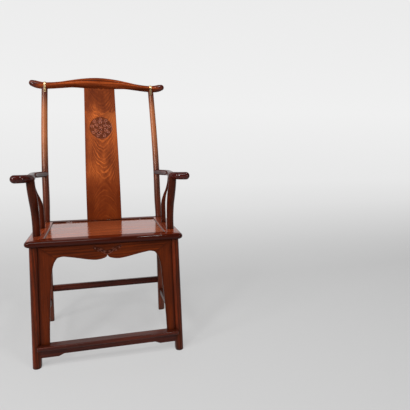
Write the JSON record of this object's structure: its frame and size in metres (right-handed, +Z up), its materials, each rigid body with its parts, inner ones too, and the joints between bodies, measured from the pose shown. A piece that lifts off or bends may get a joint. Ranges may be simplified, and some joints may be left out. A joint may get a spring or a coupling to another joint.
{
  "type": "official hat chair",
  "caption": "High-backed hardwood armchair with protruding crest rail and arm ends, curved splat with a carved medallion, cusped apron, footrest and stretchers.",
  "frame": {"origin": "on the floor under the middle of the chair's outer size", "axes": "+Z up, +X to the right seen from the front, +Y from the front to the back"},
  "size_m": [0.6696, 0.531, 1.1775],
  "materials": {
    "rosewood_frame": "polished rosewood of the round members and rails",
    "rosewood_splat": "polished rosewood with a bold pointed grain",
    "rosewood_panel": "polished rosewood of the seat panel and its braces",
    "rosewood_board": "polished rosewood of the thin aprons",
    "brass": "brushed, lightly tarnished"
  },
  "bodies": {
    "root": {"crest_rail": "rosewood_frame", "back_splat": "rosewood_splat", "left_back_post": "rosewood_frame", "right_back_post": "rosewood_frame", "left_arm": "rosewood_frame", "right_arm": "rosewood_frame", "left_arm_post": "rosewood_frame", "right_arm_post": "rosewood_frame", "left_side_post": "rosewood_frame", "right_side_post": "rosewood_frame", "seat_front_rail": "rosewood_frame", "seat_back_rail": "rosewood_frame", "seat_left_rail": "rosewood_frame", "seat_right_rail": "rosewood_frame", "seat_panel": "rosewood_panel", "left_seat_brace": "rosewood_panel", "right_seat_brace": "rosewood_panel", "left_front_leg": "rosewood_frame", "right_front_leg": "rosewood_frame", "front_apron": "rosewood_board", "left_front_apron_strip": "rosewood_board", "right_front_apron_strip": "rosewood_board", "left_side_apron": "rosewood_board", "right_side_apron": "rosewood_board", "back_apron": "rosewood_board", "footrest": "rosewood_frame", "footrest_apron": "rosewood_board", "left_side_stretcher": "rosewood_frame", "right_side_stretcher": "rosewood_frame", "back_stretcher": "rosewood_frame", "left_crest_strap": "brass", "right_crest_strap": "brass", "strap_nails": "brass"}
  },
  "joints": []
}
